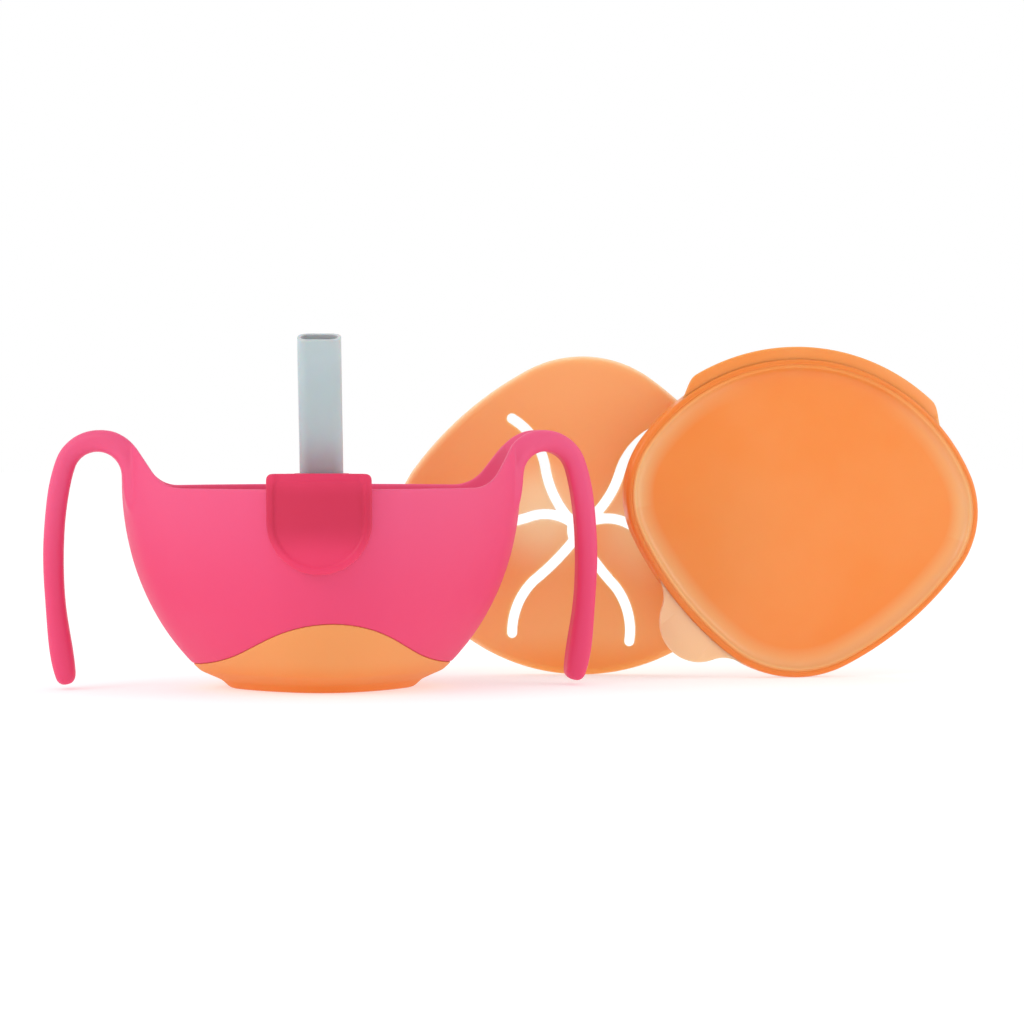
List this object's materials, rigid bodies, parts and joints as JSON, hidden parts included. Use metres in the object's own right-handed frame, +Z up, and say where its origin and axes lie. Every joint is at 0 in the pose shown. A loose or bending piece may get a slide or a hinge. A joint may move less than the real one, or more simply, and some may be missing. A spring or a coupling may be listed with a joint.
{
  "type": "bowl with straw",
  "caption": "Toddler's bowl with two open handles, a non-slip base, a straw clipped to the rim, a slit snack insert and a lid.",
  "frame": {"origin": "centre of the bowl's sole on the surface that everything stands on", "axes": "+X to the right, from handle to handle; +Y to the back, away from the straw; +Z up"},
  "size_m": [0.3496, 0.133, 0.1258],
  "materials": {
    "bowl_plastic": "satin, coloured through",
    "base_rubber": "soft matt overmoulding",
    "clip_plastic": "satin, a shade darker than the bowl",
    "straw_silicone": "translucent grey-blue silicone",
    "insert_silicone": "soft satin silicone",
    "lid_plastic": "smooth, slightly translucent"
  },
  "bodies": {
    "bowl": {"bowl": "bowl_plastic", "non_slip_base": "base_rubber"},
    "clip": {"straw_clip": "clip_plastic"},
    "straw": {"straw": "straw_silicone"},
    "insert": {"snack_insert": "insert_silicone"},
    "lid": {"lid": "lid_plastic"}
  },
  "joints": [
    {"name": "clip_lift", "type": "slide", "parent": "bowl", "child": "clip", "axis": [-0.0118, -0.1039, 0.9945], "range_m": [0, 0.13]},
    {"name": "straw_slide", "type": "slide", "parent": "clip", "child": "straw", "axis": [-0.0331, -0.2905, 0.9563], "range_m": [0, 0.075]},
    {"name": "insert_lift", "type": "slide", "parent": "bowl", "child": "insert", "axis": [0, 0, 1], "range_m": [0, 0.13]},
    {"name": "lid_lift", "type": "slide", "parent": "bowl", "child": "lid", "axis": [0, 0, 1], "range_m": [0, 0.13]}
  ]
}
